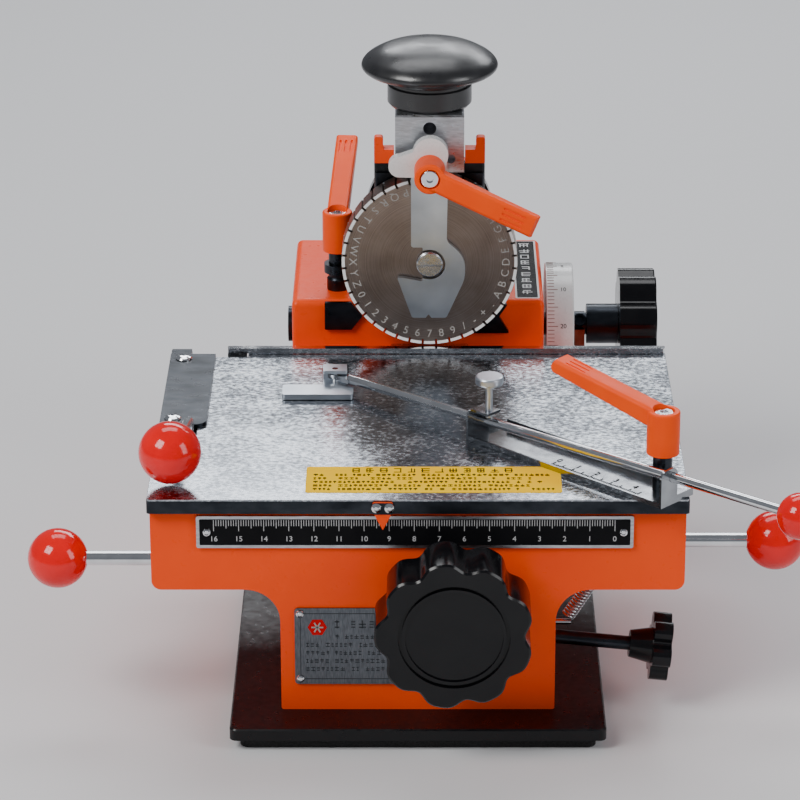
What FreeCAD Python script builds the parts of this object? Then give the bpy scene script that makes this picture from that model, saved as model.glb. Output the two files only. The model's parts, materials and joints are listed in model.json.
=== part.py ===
"""Hand-operated nameplate marking machine with a rotary type wheel.

Millimetres.  +Z is up, +X is to the operator's right and +Y is away from the
operator.  The origin is the centre of the machine's footprint, on the surface
that it stands on.  Distances called "d" are measured backwards from the front
face of the body casting.
"""
import FreeCAD, Part
import math
import os

V = FreeCAD.Vector
X_AXIS = V(1, 0, 0)
Y_AXIS = V(0, 1, 0)
Z_AXIS = V(0, 0, 1)

# ---------------------------------------------------------------- driving sizes
GAP = 0.05                     # radial running clearance of shafts in holes
PLAY = 0.3                     # clearance between parts that slide past each other

# base
BASE_W = 152.0
BASE_L = 280.0
BASE_T = 5.0
PAD_T = 5.0
PAD_INSET = 4.0
BASE_TOP = PAD_T + BASE_T
TOE = 18.5                     # how far the base plate stands in front of the casting

# body casting
CAST_W = 111.0                 # pedestal and column
WING_W = 214.0
WALL = 7.0
WING_Z0 = 63.5
WING_Z1 = 97.5
TRAY_FLOOR_Z = 67.0
TRAY_L = 158.5
CAST_L = 256.0
COLUMN_D = 174.0               # front face of the column
COLUMN_TOP = 122.5
WING_FILLET = 14.0

# table
TABLE_W = 216.0
TABLE_D0 = -4.0
TABLE_D1 = 159.2
TABLE_Z0 = 98.5
TABLE_Z1 = 104.5
SHEET_T = 0.8

# head
HEAD_X = 5.0                   # the ram and the type wheel share this centre
WHEEL_Z = 145.8
WHEEL_R = 38.2
WHEEL_D0 = 159.5
WHEEL_T = 11.5
CHARACTERS = 40
SPINDLE_R = 5.7
HOUSING_W = 48.0
HOUSING_TOP = 186.0
RAM_W = 29.6
RAM_TOP = 212.0
HOOK_PIVOT_Z = 190.8
ANVIL_TOP = 103.0

# drive
HAND_X = 14.2
HAND_Z = 59.4
SHAFT_R = 5.0
MODULE = 2.0
PINION_TEETH = 20
RACK_D0 = 52.0
RACK_D1 = 64.0
ROD_R = 5.0
ROD_Z = 86.0
ROD_DS = (25.0, 122.0)
CARRIAGE_X = -12.5
CARRIAGE_W = 36.0

# dial on the right of the column
DIAL_D = 214.0
DIAL_Z = 96.6
DIAL_R = 27.5
CAM_LIFT_PER_RAD = 0.38


def y_of(d):
    """Row Y of a distance behind the casting's front face."""
    return d + TOE - BASE_L / 2


# ---------------------------------------------------------------- small helpers
def box(x0, x1, d0, d1, z0, z1):
    corner = V(x0, y_of(d0), z0)
    return Part.makeBox(x1 - x0, d1 - d0, z1 - z0, corner)


def cyl_z(x, d, z0, z1, r):
    return Part.makeCylinder(r, z1 - z0, V(x, y_of(d), z0), Z_AXIS)


def cyl_y(x, z, d0, d1, r):
    return Part.makeCylinder(r, d1 - d0, V(x, y_of(d0), z), Y_AXIS)


def cyl_x(d, z, x0, x1, r):
    return Part.makeCylinder(r, x1 - x0, V(x0, y_of(d), z), X_AXIS)


def tube_y(x, z, d0, d1, r_in, r_out):
    return cyl_y(x, z, d0, d1, r_out).cut(cyl_y(x, z, d0 - 1, d1 + 1, r_in))


def tube_x(d, z, x0, x1, r_in, r_out):
    return cyl_x(d, z, x0, x1, r_out).cut(cyl_x(d, z, x0 - 1, x1 + 1, r_in))


def face_of(points):
    """A flat face from a closed outline.  A point (a, b, r) is rounded with radius r."""
    count = len(points)
    edges = []
    ends = []
    for i, point in enumerate(points):
        here = V(*point[:3])
        radius = point[3]
        before = V(*points[i - 1][:3])
        after = V(*points[(i + 1) % count][:3])
        to_before = (before - here).normalize()
        to_after = (after - here).normalize()
        if radius <= 0:
            ends.append((here, here))
            continue
        half = to_before.getAngle(to_after) / 2
        reach = radius / math.tan(half)
        start = here + to_before * reach
        stop = here + to_after * reach
        middle_way = (to_before + to_after).normalize()
        centre = here + middle_way * (radius / math.sin(half))
        middle = centre - middle_way * radius
        edges.append(Part.Arc(start, middle, stop).toShape())
        ends.append((start, stop))
    for i in range(count):
        leave = ends[i][1]
        reach_to = ends[(i + 1) % count][0]
        if leave.distanceToPoint(reach_to) > 1e-6:
            edges.append(Part.makeLine(leave, reach_to))
    wire = Part.Wire(Part.__sortEdges__(edges))
    return Part.Face(wire)


def plate_xz(outline, d0, d1):
    """Outline points (x, z, radius) extruded from d0 to d1."""
    face = face_of([(x, y_of(d0), z, r) for x, z, r in outline])
    return face.extrude(V(0, d1 - d0, 0))


def plate_xy(outline, z0, z1):
    """Outline points (x, d, radius) extruded from z0 to z1."""
    face = face_of([(x, y_of(d), z0, r) for x, d, r in outline])
    return face.extrude(V(0, 0, z1 - z0))


def rounded_plate(x0, x1, d0, d1, z0, z1, r):
    return plate_xy([(x0, d0, r), (x1, d0, r), (x1, d1, r), (x0, d1, r)], z0, z1)


def bevel(shape, size, keep):
    """Chamfer the edges whose centre passes the test keep."""
    edges = [e for e in shape.Edges if keep(e.CenterOfMass)]
    return shape.makeChamfer(size, edges)


def lathe(profile, centre, axis):
    """Turn (radius, height) points about an axis that starts at centre."""
    points = [V(r, 0, h) for r, h in profile]
    wire = Part.makePolygon(points + [points[0]])
    solid = Part.Face(wire).revolve(V(0, 0, 0), Z_AXIS, 360)
    turn = FreeCAD.Rotation(Z_AXIS, V(*axis))
    solid.Placement = FreeCAD.Placement(V(*centre), turn)
    return solid


def dome_screw(centre, axis, head_r, head_h, shank_r, shank_l):
    """A round-headed screw whose seat is at centre and whose head points along axis."""
    top = head_h * 0.55
    profile = [(0, -shank_l), (shank_r, -shank_l), (shank_r, 0), (head_r, 0),
               (head_r, head_h * 0.25), (head_r * 0.86, head_h * 0.62),
               (head_r * 0.5, head_h * 0.93), (0.9, head_h), (0.9, top), (0, top)]
    return lathe(profile, centre, axis)


def together(solids):
    return Part.makeCompound(solids)


def lobed_disc(radius, lobes, depth, thickness):
    """A knob body with rounded lobes, about +Z from z = 0, as one smooth outline."""
    steps = lobes * 12
    points = []
    for i in range(steps):
        angle = 2 * math.pi * i / steps
        dip = depth * ((1 + math.cos(lobes * angle)) / 2) ** 2
        points.append(V((radius - dip) * math.cos(angle), (radius - dip) * math.sin(angle), 0))
    curve = Part.BSplineCurve()
    curve.interpolate(points, PeriodicFlag=True)
    face = Part.Face(Part.Wire(curve.toShape()))
    return face.extrude(V(0, 0, thickness))


def placed(shape, centre, axis, spin=0.0):
    """Put a shape made about +Z at centre, with its +Z along axis."""
    turn = FreeCAD.Rotation(Z_AXIS, V(*axis)).multiply(FreeCAD.Rotation(Z_AXIS, spin))
    result = shape.copy()
    result.Placement = FreeCAD.Placement(V(*centre), turn)
    return result


# ---------------------------------------------------------------- base and casting
BOLT_PLACES = [(-46, 20), (46, 20), (-46, 225), (46, 225)]
BUSH_R = 7.5
ROD_HALF = 104.0
LEVER_PIVOT_X = 84.0
LEVERS = [(-1, 15.5, 70.5), (1, 30.0, 72.0)]
STUD_X = -35.5
STUD_D = 190.0
RULER_T = 1.2
DATA_T = 0.8
SMALL_SHANK_R = 0.8
RULER_SCREWS = [(-84.3, 89.3), (82.0, 89.3)]
DATA_SCREWS = [(x, z) for x in (-47.6, -0.2) for z in (24.2, 53.2)]
KEEPER_SCREWS = [(HEAD_X + side * 19.0, z) for side in (-1, 1) for z in (134.0, 176.0)]


def base_pad():
    x = BASE_W / 2 - PAD_INSET
    d0 = -TOE + PAD_INSET
    return rounded_plate(-x, x, d0, BASE_L - TOE - PAD_INSET, 0, PAD_T, 4)


def base_plate():
    x = BASE_W / 2
    plate = rounded_plate(-x, x, -TOE, BASE_L - TOE, PAD_T, BASE_TOP, 3)
    plate = bevel(plate, 0.6, lambda c: c.z > BASE_TOP - 0.1)
    for bx, bd in BOLT_PLACES:
        plate = plate.cut(cyl_z(bx, bd, PAD_T - 1, BASE_TOP + 1, 3.2))
        plate = plate.cut(cyl_z(bx, bd, PAD_T - 1, PAD_T + 3.2, 5.6))
    return plate


def base_bolts():
    bolts = []
    for bx, bd in BOLT_PLACES:
        head = cyl_z(bx, bd, PAD_T + 0.2, PAD_T + 3.2, 5.3)
        bolts.append(head.fuse(cyl_z(bx, bd, PAD_T + 3, BASE_TOP + 18, 3)))
    return together(bolts)


def whole_casting():
    half = CAST_W / 2
    wing = WING_W / 2
    outline = [(-half, BASE_TOP, 1), (-half, WING_Z0, WING_FILLET), (-wing, WING_Z0, 4),
               (-wing, WING_Z1, 1), (wing, WING_Z1, 1), (wing, WING_Z0, 4),
               (half, WING_Z0, WING_FILLET), (half, BASE_TOP, 1)]
    body = plate_xz(outline, 0, TRAY_L)
    column = rounded_plate(-half, half, 0.0, CAST_L, BASE_TOP, WING_Z0, 2)
    upper = rounded_plate(-half, half, COLUMN_D, CAST_L, WING_Z0 - 5, COLUMN_TOP, 2)
    upper = upper.makeFillet(3, [e for e in upper.Edges if e.CenterOfMass.z > COLUMN_TOP - 0.1])
    neck = box(-half, half, TRAY_L - 8, COLUMN_D + 5, WING_Z0 - 5, WING_Z1)
    body = body.fuse([column, upper, neck])
    tray = box(-wing + WALL, wing - WALL, WALL, TRAY_L - WALL - 2, TRAY_FLOOR_Z, WING_Z1 + 1)
    front_room = box(-half + WALL, half - WALL, WALL, 150, BASE_TOP - 1, WING_Z0 - 6)
    rear_room = box(-half + WALL, half - WALL, 164, CAST_L - WALL, BASE_TOP - 1, WING_Z0 - 6)
    column_room = box(-half + WALL, half - WALL, COLUMN_D + WALL, CAST_L - WALL,
                      WING_Z0 - 10, COLUMN_TOP - 10)
    body = body.cut([tray, front_room, rear_room, column_room])
    web = box(HAND_X - 20, HAND_X + 20, 68, 76, BASE_TOP, TRAY_FLOOR_Z)
    corner_bosses = [cyl_z(bx, bd, BASE_TOP, WING_Z0 - 6, 8.5) for bx, bd in BOLT_PLACES]
    body = body.fuse([web] + corner_bosses)
    cuts = [cyl_z(bx, bd, BASE_TOP - 1, BASE_TOP + 20, 3.2) for bx, bd in BOLT_PLACES]
    cuts.append(box(HAND_X - 24, HAND_X + 24, 49.5, 66.5, WING_Z0 - 8, TRAY_FLOOR_Z + 1))
    cuts.append(cyl_y(HAND_X, HAND_Z, -1, 90, BUSH_R))
    for side in (-1, 1):
        x0, x1 = sorted((side * (wing - WALL - 1), side * (wing + 1)))
        cuts.append(box(x0, x1, RACK_D0 - 1.5, RACK_D1 + 1.5, 75, WING_Z1 + 1))
    for rod_d in ROD_DS:
        cuts.append(cyl_x(rod_d, ROD_Z, -ROD_HALF - 0.2, ROD_HALF + 0.2, ROD_R + GAP))
    for side, lever_d, lever_z in LEVERS:
        x0, x1 = sorted((side * (wing - WALL - 1), side * (wing + 1)))
        cuts.append(box(x0, x1, lever_d - 3.6, lever_d + 8, lever_z - 3.5, lever_z + 3.5))
        cuts.append(cyl_z(side * LEVER_PIVOT_X, lever_d, WING_Z0 - 1, TRAY_FLOOR_Z + 1, 2.5 + GAP))
    cuts.append(cyl_x(DIAL_D, DIAL_Z, -half - 1, half + 1, BUSH_R))
    cuts.append(cyl_z(STUD_X, STUD_D, COLUMN_TOP - 9, COLUMN_TOP + 1, 4 + GAP))
    cuts.append(stop_screw_solid(STOP_SCREW_R + GAP, 30, 70, 0))
    return body.cut(cuts)


def body_and_column():
    """The base casting with its table tray, and the column that stands on its rear half."""
    whole = whole_casting()
    half = CAST_W / 2
    column_space = box(-half - 1, half + 1, COLUMN_D, CAST_L + 1, WING_Z0, COLUMN_TOP + 1)
    return whole.cut(column_space), whole.common(column_space)


def guide_rods():
    return together([cyl_x(d, ROD_Z, -ROD_HALF, ROD_HALF, ROD_R) for d in ROD_DS])


def shaft_bushes():
    """Four equal bronze bushes: two for the handwheel shaft, two for the dial shaft."""
    half = CAST_W / 2
    inner = SHAFT_R + GAP
    return together([
        tube_y(HAND_X, HAND_Z, 0.2, WALL, inner, BUSH_R - 0.02),
        tube_y(HAND_X, HAND_Z, 68.5, 75.5, inner, BUSH_R - 0.02),
        tube_x(DIAL_D, DIAL_Z, -half + 0.2, -half + WALL, inner, BUSH_R - 0.02),
        tube_x(DIAL_D, DIAL_Z, half - WALL, half - 0.2, inner, BUSH_R - 0.02),
    ])


def drilled(plate, places, radius, d0, d1):
    """Drill holes along Y at (x, z) places."""
    return plate.cut([cyl_y(x, z, d0 - 1, d1 + 1, radius) for x, z in places])


def ruler_strip():
    corners = ((-88.5, 82.4), (86, 82.4), (86, 96.2), (-88.5, 96.2))
    strip = plate_xz([(x, z, 0.8) for x, z in corners], -RULER_T, 0)
    return drilled(strip, RULER_SCREWS, SMALL_SHANK_R + GAP, -RULER_T, 0)


def data_plate():
    corners = ((-49.8, 21.8), (2, 21.8), (2, 55.6), (-49.8, 55.6))
    plate = plate_xz([(x, z, 1.5) for x, z in corners], -DATA_T, 0)
    return drilled(plate, DATA_SCREWS, SMALL_SHANK_R + GAP, -DATA_T, 0)


def frame_screws():
    """Screws of the ruler, data plate, keepers and rear cover, and the lever spring's pins."""
    screws = spring_anchors()
    for places, thick in ((RULER_SCREWS, RULER_T), (DATA_SCREWS, DATA_T)):
        for x, z in places:
            centre = (x, y_of(-thick), z)
            screws.append(dome_screw(centre, (0, -1, 0), 1.7, 1.0, SMALL_SHANK_R, thick * 0.9))
    for x, z in KEEPER_SCREWS:
        centre = (x, y_of(HOUSING_D0 - KEEPER_T), z)
        screws.append(dome_screw(centre, (0, -1, 0), 2.0, 0.9, 1.0, KEEPER_T * 0.9))
    for x, z in COVER_SCREWS:
        screws.append(dome_screw((x, y_of(REAR_COVER_D1), z), (0, 1, 0), 2.6, 1.4, 1.2, 12))
    return together(screws)


# ---------------------------------------------------------------- head on the column
HOUSING_D0 = 174.0
HOUSING_D1 = 206.0
KEEPER_T = 1.6
RAM_BAR_D1 = 192.0
REAR_COVER_Z = 153.0
REAR_COVER_R = 28.0
REAR_COVER_D1 = HOUSING_D1 + 8
COVER_SCREWS = [(HEAD_X + 21 * math.cos(turn), REAR_COVER_Z + 21 * math.sin(turn))
                for turn in (math.pi / 2, math.pi * 7 / 6, math.pi * 11 / 6)]
CAP_D1 = HOUSING_D0 + 4.0       # back of the yoke's front plate
HOUSING_STEP = 176.0            # top of the housing behind the yoke
RAM_FOOT_Z = 138.0
SPRING_ROOM = 11.5
SPRING_D = 183.0
DETENT_R = 27.0
DETENT_Z = WHEEL_Z + DETENT_R
KNOB_D = 178.0


def head_housing():
    half = HOUSING_W / 2
    block = rounded_plate(HEAD_X - half, HEAD_X + half, HOUSING_D0, HOUSING_D1,
                          COLUMN_TOP, HOUSING_TOP, 1.5)
    foot = rounded_plate(HEAD_X - half - 1, HEAD_X + half + 1, HOUSING_D0, 246, COLUMN_TOP,
                         COLUMN_TOP + 8, 3)
    block = block.fuse(foot)
    channel = box(HEAD_X - RAM_W / 2 - GAP, HEAD_X + RAM_W / 2 + GAP, HOUSING_D0 - 1,
                  RAM_BAR_D1 + GAP, RAM_FOOT_Z - SPRING_ROOM, HOUSING_TOP + 1)
    rear_step = box(HEAD_X - half - 1, HEAD_X + half + 1, CAP_D1 + 0.05, HOUSING_D1 + 1,
                    HOUSING_STEP, HOUSING_TOP + 1)
    cover_seat = cyl_y(HEAD_X, REAR_COVER_Z, HOUSING_D1, REAR_COVER_D1 + PLAY, REAR_COVER_R + PLAY)
    cover_holes = [cyl_y(x, z, HOUSING_D1 - 6, HOUSING_D1 + 1, 1.25) for x, z in COVER_SCREWS]
    return block.cut([channel, rear_step, cover_seat] + cover_holes)


def head_cap():
    """Orange yoke: a front plate with two prongs beside the ram, joined behind the ram."""
    half = HOUSING_W / 2
    z0 = HOUSING_TOP
    bar_z = z0 + 6.0
    prong_z = z0 + 11.8
    inner = RAM_W / 2 + 0.6
    prong = 3.9
    outline = [(HEAD_X - half, z0, 0.3), (HEAD_X - half, prong_z, 1.2),
               (HEAD_X - half + prong, prong_z, 1.2), (HEAD_X - half + prong, bar_z, 0.8),
               (HEAD_X + half - prong, bar_z, 0.8), (HEAD_X + half - prong, prong_z, 1.2),
               (HEAD_X + half, prong_z, 1.2), (HEAD_X + half, z0, 0.3)]
    cap = plate_xz(outline, HOUSING_D0, CAP_D1)
    riser = box(HEAD_X - half, HEAD_X + half, CAP_D1 - 0.01, CAP_D1 + 3, HOUSING_STEP, bar_z)
    bridge = box(HEAD_X - half, HEAD_X + half, CAP_D1 + 0.1, 200, HOUSING_STEP, HOUSING_STEP + 4)
    cap = cap.fuse([riser, bridge])
    front_ledge = box(HEAD_X - half - 1, HEAD_X + half + 1, HOUSING_D0 - 1, CAP_D1 + 0.1,
                      HOUSING_STEP - 1, z0)
    opening = box(HEAD_X - inner, HEAD_X + inner, HOUSING_D0 - 1, RAM_BAR_D1 + 0.6,
                  HOUSING_STEP - 1, prong_z + 1)
    return cap.cut([front_ledge, opening])


def keeper_plates():
    plates = []
    for side in (-1, 1):
        x0, x1 = sorted((HEAD_X + side * 12.2, HEAD_X + side * (HOUSING_W / 2 - 0.5)))
        plate = rounded_plate(x0, x1, HOUSING_D0 - KEEPER_T, HOUSING_D0, 129, 182, 0.7)
        plates.append(drilled(plate, KEEPER_SCREWS, 1 + GAP, HOUSING_D0 - KEEPER_T, HOUSING_D0))
    return together(plates)


def rear_cover():
    profile = [(0, 0), (REAR_COVER_R, 0), (REAR_COVER_R, 6), (REAR_COVER_R - 2, 8),
               (14, 8), (13, 6.8), (0, 6.8)]
    cover = lathe(profile, (HEAD_X, y_of(HOUSING_D1), REAR_COVER_Z), (0, 1, 0))
    return drilled(cover, COVER_SCREWS, 1.25, HOUSING_D1, REAR_COVER_D1)


def anvil():
    block = box(HEAD_X - 17, HEAD_X + 17, 160.2, 172.6, WING_Z1, ANVIL_TOP)
    return bevel(block, 0.6, lambda c: c.z > ANVIL_TOP - 0.1)


def index_plates():
    """Pointer on the left and notched plate on the right of the wheel, on the column's face."""
    pointer = plate_xz([(-41, 109.6, 0.5), (-41, 122.2, 0.5), (-29.3, 122.2, 0.5),
                        (-24.4, 116, 0.5), (-29.3, 109.6, 0.5)], COLUMN_D - 2.2, COLUMN_D)
    notched = plate_xz([(22, 108, 0.5), (22, 121.6, 0.5), (39.5, 121.6, 0.5), (35.6, 115.8, 0.5),
                        (40.3, 108, 0.5)], COLUMN_D - 2.2, COLUMN_D)
    return together([pointer, notched])


def ram_slide():
    """Ram: a guided bar behind the wheel and a silver block that reaches over it."""
    bar = box(HEAD_X - RAM_W / 2, HEAD_X + RAM_W / 2, HOUSING_D0 + GAP, RAM_BAR_D1, RAM_FOOT_Z, RAM_TOP)
    nose = box(HEAD_X - RAM_W / 2, HEAD_X + RAM_W / 2, 160.0, HOUSING_D0 + 1, HOUSING_TOP + 0.5, RAM_TOP)
    ram = bar.fuse(nose).removeSplitter()
    ram = bevel(ram, 0.8, lambda c: c.z > RAM_TOP - 0.1)
    holes = [
        cyl_y(HEAD_X, WHEEL_Z, 170, 195, SPINDLE_R + 0.02),
        cyl_y(HEAD_X, 206.2, 150, 182, 2.8),
        cyl_y(HEAD_X + 9.0, 192.5, 150, 166, 2.0),
        cyl_y(HEAD_X, HOOK_PIVOT_Z, 150, 174, 3 + GAP),
        cyl_y(HEAD_X, DETENT_Z, 165, 186, 2 + GAP),
    ]
    return ram.cut(holes)


def detent_plunger():
    wheel_back = WHEEL_D0 + WHEEL_T
    pin = cyl_y(HEAD_X, DETENT_Z, wheel_back + 1.2, 185, 2)
    nose = Part.makeSphere(1.95, V(HEAD_X, y_of(wheel_back + 2.15), DETENT_Z))
    return pin.fuse(nose)


def press_knob():
    """Black mushroom knob: a grooved neck under a smooth rounded cap."""
    neck_r = 18.2
    neck = [(0, 0), (neck_r - 1.2, 0), (neck_r, 1.4), (neck_r, 9.0), (neck_r - 1.0, 9.6),
            (neck_r - 1.0, 10.6), (neck_r, 11.2), (neck_r + 0.4, 12.2)]
    cap = [neck[-1], (24.0, 13.6), (28.2, 15.4), (29.4, 17.2), (28.6, 19.4), (25.0, 22.4),
           (18.5, 25.4), (9.5, 27.4), (0, 28.0)]
    points = [V(r, 0, z) for r, z in neck]
    edges = [Part.makeLine(a, b) for a, b in zip(points, points[1:])]
    curve = Part.BSplineCurve()
    curve.interpolate([V(r, 0, z) for r, z in cap], InitialTangent=V(3, 0, 0.4),
                      FinalTangent=V(-1, 0, 0))
    edges.append(curve.toShape())
    edges.append(Part.makeLine(V(0, 0, cap[-1][1]), V(0, 0, 0)))
    solid = Part.Face(Part.Wire(edges)).revolve(V(0, 0, 0), Z_AXIS, 360)
    solid.translate(V(HEAD_X, y_of(KNOB_D), RAM_TOP))
    return solid


def wheel_spindle():
    shaft = cyl_y(HEAD_X, WHEEL_Z, 155.4, 191, SPINDLE_R)
    shaft = bevel(shaft, 0.6, lambda c: c.y < y_of(156))
    slot = box(HEAD_X - 6, HEAD_X + 6, 155, 156.2, WHEEL_Z - 0.6, WHEEL_Z + 0.6)
    return shaft.cut(slot)


def type_wheel():
    """Character wheel: a disc with one axial slot between neighbouring characters."""
    wheel = cyl_y(HEAD_X, WHEEL_Z, WHEEL_D0, WHEEL_D0 + WHEEL_T, WHEEL_R)
    hub_relief = tube_y(HEAD_X, WHEEL_Z, WHEEL_D0 + 3, WHEEL_D0 + WHEEL_T + 1, 12, 21)
    wheel = wheel.cut(hub_relief)
    wheel = wheel.cut(cyl_y(HEAD_X, WHEEL_Z, WHEEL_D0 - 1, WHEEL_D0 + WHEEL_T + 1, SPINDLE_R + GAP))
    step = 360.0 / CHARACTERS
    cutters = []
    for i in range(CHARACTERS):
        slot = box(-0.45, 0.45, WHEEL_D0 - 1, WHEEL_D0 + WHEEL_T + 1, WHEEL_R - 2.2, WHEEL_R + 1)
        dimple = cyl_y(0, DETENT_R, WHEEL_D0 + WHEEL_T - 0.7, WHEEL_D0 + WHEEL_T + 1, 1.1)
        for cutter, angle in ((slot, step * (i + 0.5)), (dimple, step * i)):
            cutter.rotate(V(0, 0, 0), Y_AXIS, angle)
            cutter.translate(V(HEAD_X, 0, WHEEL_Z))
            cutters.append(cutter)
    return wheel.cut(cutters)


def hook_plate():
    """Zinc-plated latch that hooks round the spindle and hangs from the ram."""
    x = HEAD_X
    d0, d1 = WHEEL_D0 - 3.4, WHEEL_D0 - 0.5
    outline = [(x - 8, 197, 6), (x + 8, 197, 6), (x + 7.4, 156.5, 3), (x + 15.6, 149, 12),
               (x + 15.2, 139, 14), (x + 7.3, 121.2, 1.5), (x + 0.8, 121.2, 0.4), (x - 0.4, 123, 0.4),
               (x - 1.6, 121.2, 0.4), (x - 7.6, 121.2, 1.5), (x - 14.2, 140.2, 0.8),
               (x - 3, 138.0, 0.6), (x - 3, 153.6, 0.4), (x - 8, 153.6, 1.2)]
    plate = plate_xz(outline, d0, d1)
    jaw = cyl_y(x, WHEEL_Z, d0 - 1, d1 + 1, SPINDLE_R + 1.1)
    entry = box(x - 20, x, d0 - 1, d1 + 1, WHEEL_Z - SPINDLE_R - 0.4, WHEEL_Z + SPINDLE_R + 0.6)
    pivot = cyl_y(x, HOOK_PIVOT_Z, d0 - 1, d1 + 1, 3 + GAP)
    return plate.cut([jaw, entry, pivot])


# ---------------------------------------------------------------- clamp levers
LEVER_HUB_R = 6.6
LEVER_HUB_L = 18.0
GROOVE_L = 10.0
FRONT_LEVER_D = 150.9
FRONT_LEVER_DROP = 22.5
FRONT_HUB_L = 14.0
STUD_TOP = 140.6


def lever_arm(reach, rise, hub_l=LEVER_HUB_L):
    """Clamp lever about +Z: hub from z = 0 up, arm along +X that rises to its tip."""
    hub = Part.makeCylinder(LEVER_HUB_R, hub_l, V(0, 0, 0), Z_AXIS)
    hub = hub.makeFillet(0.8, [hub.Edges[0]])
    root_z = hub_l - 4.6
    half_root = 4.6
    half_tip = 4.9
    thick_root = 8.6
    thick_tip = 6.0
    side = [V(0, 0, root_z - 3.6), V(reach, 0, root_z - 3.6 + rise),
            V(reach + 1.2, 0, root_z - 3.6 + rise + thick_tip * 0.5),
            V(reach - 0.6, 0, root_z - 3.6 + rise + thick_tip),
            V(0, 0, root_z - 3.6 + thick_root)]
    edges = [Part.makeLine(side[i], side[(i + 1) % 5]) for i in range(5)]
    slab = Part.Face(Part.Wire(edges)).extrude(V(0, 20, 0))
    slab.translate(V(0, -10, 0))
    plan = [V(0, -half_root, -5), V(reach + 2, -half_tip, -5),
            V(reach + 2, half_tip, -5), V(0, half_root, -5)]
    edges = [Part.makeLine(plan[i], plan[(i + 1) % 4]) for i in range(4)]
    arm = slab.common(Part.Face(Part.Wire(edges)).extrude(V(0, 0, 60)))
    long_edges = [e for e in arm.Edges if e.Length > 30]
    arm = arm.makeFillet(1.6, long_edges)
    lever = hub.fuse(arm)
    well = Part.makeCylinder(4.4, 10, V(0, 0, hub_l - 3.4), Z_AXIS)
    bore = Part.makeCylinder(3 + GAP, hub_l + 2, V(0, 0, -1), Z_AXIS)
    cuts = [well, bore]
    slope = math.degrees(math.atan2(rise + thick_tip - thick_root, reach))
    groove_x = reach - 4.5 - GROOVE_L
    groove_z = root_z - 3.6 + thick_root + groove_x * math.tan(math.radians(slope))
    for i in (-1, 0, 1):
        groove = Part.makeBox(GROOVE_L, 1.0, 2.0, V(0, 2.5 * i - 0.5, -0.5))
        groove.rotate(V(0, 0, 0), Y_AXIS, -slope)
        groove.translate(V(groove_x, 0, groove_z))
        cuts.append(groove)
    return lever.cut(cuts)


def lever_screw(hub_l=LEVER_HUB_L):
    """Cap screw seated in the hub's well: head, hex socket and shank."""
    seat = hub_l - 3.4
    head = Part.makeCylinder(3.9, 3.0, V(0, 0, seat), Z_AXIS)
    head = head.makeFillet(0.5, [head.Edges[0]])
    shank = Part.makeCylinder(3, seat + 5, V(0, 0, -5), Z_AXIS)
    socket = Part.makeCylinder(1.6, 2, V(0, 0, seat + 1.6), Z_AXIS)
    return head.fuse(shank).cut(socket)


def front_lever_place(shape):
    """The front lever's own +Z points at the operator, and its arm points right and down."""
    result = shape.copy()
    result.rotate(V(0, 0, 0), Z_AXIS, -FRONT_LEVER_DROP)
    result.rotate(V(0, 0, 0), X_AXIS, 90)
    result.translate(V(HEAD_X, y_of(FRONT_LEVER_D), HOOK_PIVOT_Z))
    return result


def front_lever():
    return front_lever_place(lever_arm(47.5, 12, FRONT_HUB_L))


def front_lever_screw():
    screw = lever_screw(FRONT_HUB_L)
    shank = Part.makeCylinder(3, 16, V(0, 0, -20), Z_AXIS)
    return front_lever_place(screw.fuse(shank))


def cam_lug():
    """White lug between the hook and the front lever: a round cam with a thumb finger."""
    d0, d1 = FRONT_LEVER_D + 0.2, WHEEL_D0 - 3.6
    z = HOOK_PIVOT_Z
    lobe = cyl_y(HEAD_X + 0.3, z + 6.2, d0, d1, 7.6)
    root = cyl_y(HEAD_X, z, d0, d1, 7.2)
    finger = cyl_y(HEAD_X - 13, z + 1.0, d0, d1, 4.6)
    web = plate_xz([(HEAD_X - 13, z + 5.6, 0), (HEAD_X - 2, z + 9.4, 0), (HEAD_X + 2, z - 4, 0),
                    (HEAD_X - 13, z - 3.6, 0)], d0, d1)
    link = box(HEAD_X - 7.2, HEAD_X + 7.2, d0, d1, z, z + 6.2)
    lug = lobe.fuse([root, finger, web, link]).removeSplitter()
    return lug.cut(cyl_y(HEAD_X, z, d0 - 1, d1 + 1, 3 + GAP))


def clamp_stud():
    """Black stud with a bright nut, on which the left clamp lever turns."""
    profile = [(0, COLUMN_TOP - 8.5), (4, COLUMN_TOP - 8.5), (4, COLUMN_TOP), (4.8, COLUMN_TOP),
               (4.8, COLUMN_TOP + 5), (4, COLUMN_TOP + 6), (4, COLUMN_TOP + 8), (6, COLUMN_TOP + 8),
               (6, COLUMN_TOP + 12), (4, COLUMN_TOP + 12), (4, STUD_TOP), (3 + GAP, STUD_TOP)]
    profile += [(3 + GAP, STUD_TOP - 6), (0, STUD_TOP - 6)]
    return lathe(profile, (STUD_X, y_of(STUD_D), 0), (0, 0, 1))


def on_stud(shape):
    result = shape.copy()
    result.rotate(V(0, 0, 0), Z_AXIS, 87)
    result.translate(V(STUD_X, y_of(STUD_D), STUD_TOP + 0.1))
    return result


def left_clamp_lever():
    return on_stud(lever_arm(63, 17))


def left_clamp_screw():
    return on_stud(lever_screw())


# ---------------------------------------------------------------- handwheel drive
RACK_X0 = -92.0
RACK_X1 = 96.0


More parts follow.
